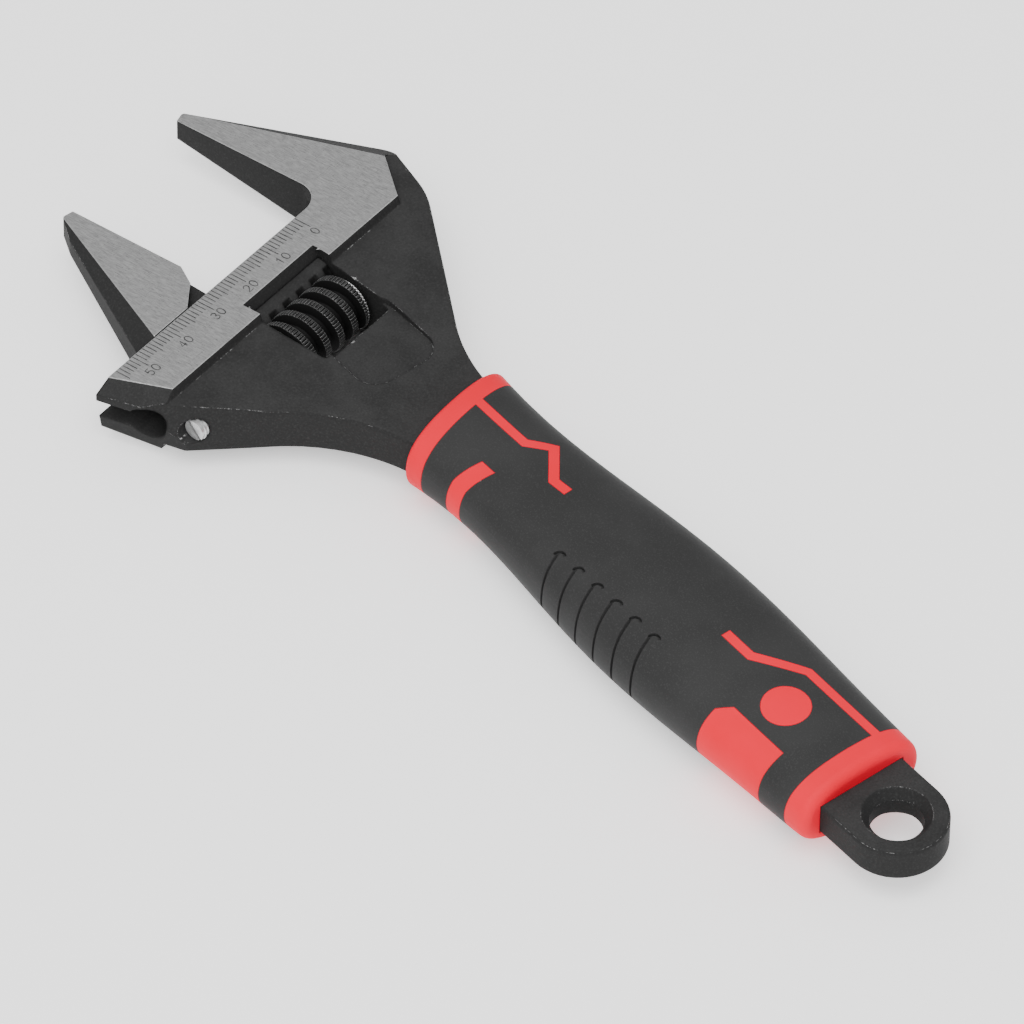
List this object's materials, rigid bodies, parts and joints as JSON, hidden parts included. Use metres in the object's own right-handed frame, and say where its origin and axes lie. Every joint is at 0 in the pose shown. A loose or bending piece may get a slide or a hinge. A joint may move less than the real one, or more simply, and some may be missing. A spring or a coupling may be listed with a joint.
{
  "type": "adjustable wrench",
  "caption": "Wide-opening adjustable wrench with a sliding jaw driven by a worm on a rack, a scale on the bar, a two-colour soft grip and a hang hole.",
  "frame": {"origin": "centre of the hang hole, on the middle plane of the tang", "axes": "+X along the handle to the head, +Y to the sliding jaw's side, +Z out of the face with the scale"},
  "size_m": [0.2456, 0.0879, 0.0192],
  "materials": {
    "black_steel": "satin black forging with ground silver head faces",
    "ground_steel": "fine ground",
    "dark_steel": "black oxide, worn bright at the crests",
    "zinc_steel": "bright zinc",
    "spring_steel": "drawn wire",
    "grip_black": "matte",
    "grip_red": "matte"
  },
  "bodies": {
    "handle": {"body": "black_steel", "worm_pin": "zinc_steel", "worm_spring": "spring_steel", "grip_sleeve": "grip_black", "front_collar": "grip_red", "rear_collar": "grip_red", "front_band": "grip_red", "side_block": "grip_red", "grip_dot_front": "grip_red", "grip_dot_back": "grip_red"},
    "jaw": {"sliding_jaw": "ground_steel"},
    "worm": {"worm": "dark_steel"}
  },
  "joints": [
    {"name": "jaw_slide", "type": "slide", "parent": "handle", "child": "jaw", "axis": [-0.2079, 0.9781, 0], "range_m": [-0.0329, 0.017]},
    {"name": "worm_spin", "type": "hinge", "parent": "handle", "child": "worm", "pos_m": [0.1756, -0.00473, 0], "axis": [-0.2079, 0.9781, 0], "range_deg": [-1480, 2860]}
  ],
  "couplings": [
    {"joint": "worm_spin", "follows": "jaw_slide", "rad_per_m": -1514}
  ]
}
